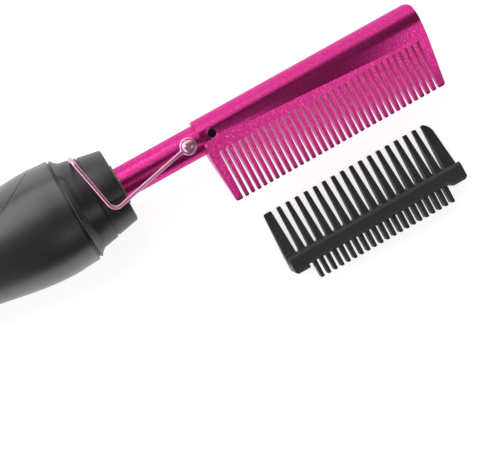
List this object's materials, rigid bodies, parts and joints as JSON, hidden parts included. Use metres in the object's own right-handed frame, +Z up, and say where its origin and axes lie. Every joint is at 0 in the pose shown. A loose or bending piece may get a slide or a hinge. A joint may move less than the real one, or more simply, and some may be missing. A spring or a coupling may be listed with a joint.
{
  "type": "hot comb",
  "caption": "Electric hot comb: black handle with keys and display, pink barrel and thick-toothed comb, folding wire rest, swivelling cord gland and slip-on silicone tooth guard.",
  "frame": {"origin": "middle of the footprint of tool and guard, on the table they lie on", "axes": "+X from the tail along the tool axis to the tip of the comb, +Y to the spine side with the teeth towards -Y, +Z up with the tool lying on its side"},
  "size_m": [0.2856, 0.0855, 0.0384],
  "materials": {
    "black_soft_touch": "soft-touch matte black coating",
    "black_plastic": "satin black heat-resistant plastic",
    "black_gloss": "glossy black plastic",
    "window": "smoked clear plastic",
    "stand_pink": "rose-silver metallic coat",
    "gasket": "olive silicone",
    "steel": "bright zinc-plated steel",
    "black_oxide": "black oxide steel",
    "brass": "stamped brass",
    "mica_cream": "cream heat-resistant moulding",
    "board": "green solder mask",
    "lead_sleeve": "white glass-fibre sleeve",
    "silicone": "matte black silicone",
    "comb_coat": "hot-pink sparkling coat on cast aluminium",
    "bare_aluminium": "bare machined aluminium",
    "ceramic": "white fired ceramic",
    "led_glass": "glass-faced LED display",
    "film_case": "ochre film capacitor case"
  },
  "bodies": {
    "tool": {"handle_body": "black_soft_touch", "top_cover": "black_soft_touch", "control_plate": "black_gloss", "display_window": "window", "display_module": "led_glass", "button_switches": "steel", "circuit_board": "board", "film_capacitor": "film_case", "heat_plate": "bare_aluminium", "board_screws": "steel", "shell_screws": "steel", "screw_plugs": "black_soft_touch", "collar": "black_plastic", "nose_cap": "black_plastic", "barrel_bush": "mica_cream", "barrel_clip": "steel", "nose_screws": "steel", "nose_gasket": "gasket", "barrel": "comb_coat", "barrel_liner": "mica_cream", "pivot_sleeve": "bare_aluminium", "lead_spacer": "mica_cream", "heater_cartridge": "ceramic", "heater_leads": "lead_sleeve", "sensor_leads": "lead_sleeve", "thermal_fuse": "steel", "lead_terminal": "ceramic", "mains_terminal": "ceramic", "mains_leads": "brass", "comb_head": "comb_coat", "set_screw": "black_oxide", "stand_screws": "stand_pink", "tail_cap": "black_plastic", "contact_block": "ceramic", "contact_fingers": "brass"},
    "stand": {"stand_wire": "stand_pink"},
    "guard": {"tooth_guard": "silicone"},
    "power_key": {"power_button": "black_plastic"},
    "minus_key": {"minus_button": "black_plastic"},
    "plus_key": {"plus_button": "black_plastic"},
    "swivel": {"cord_gland": "black_plastic", "gland_clip": "steel", "gland_contacts": "brass"}
  },
  "joints": [
    {"name": "stand_pivot", "type": "hinge", "parent": "tool", "child": "stand", "pos_m": [0.04955, 0.02275, 0.0192], "axis": [0, 0, -1], "range_deg": [0, 103]},
    {"name": "guard_slide", "type": "slide", "parent": "tool", "child": "guard", "axis": [0, 0.9325, 0.3613], "range_m": [0, 0.03239]},
    {"name": "power_press", "type": "slide", "parent": "tool", "child": "power_key", "axis": [0, -1, 0], "range_m": [0, 0.0005], "stiffness_N_per_m": 800},
    {"name": "minus_press", "type": "slide", "parent": "tool", "child": "minus_key", "axis": [0, -1, 0], "range_m": [0, 0.0005], "stiffness_N_per_m": 800},
    {"name": "plus_press", "type": "slide", "parent": "tool", "child": "plus_key", "axis": [0, -1, 0], "range_m": [0, 0.0005], "stiffness_N_per_m": 800},
    {"name": "cord_swivel", "type": "hinge", "parent": "tool", "child": "swivel", "pos_m": [-0.14285, 0.02275, 0.0192], "axis": [1, 0, 0], "continuous": true}
  ]
}
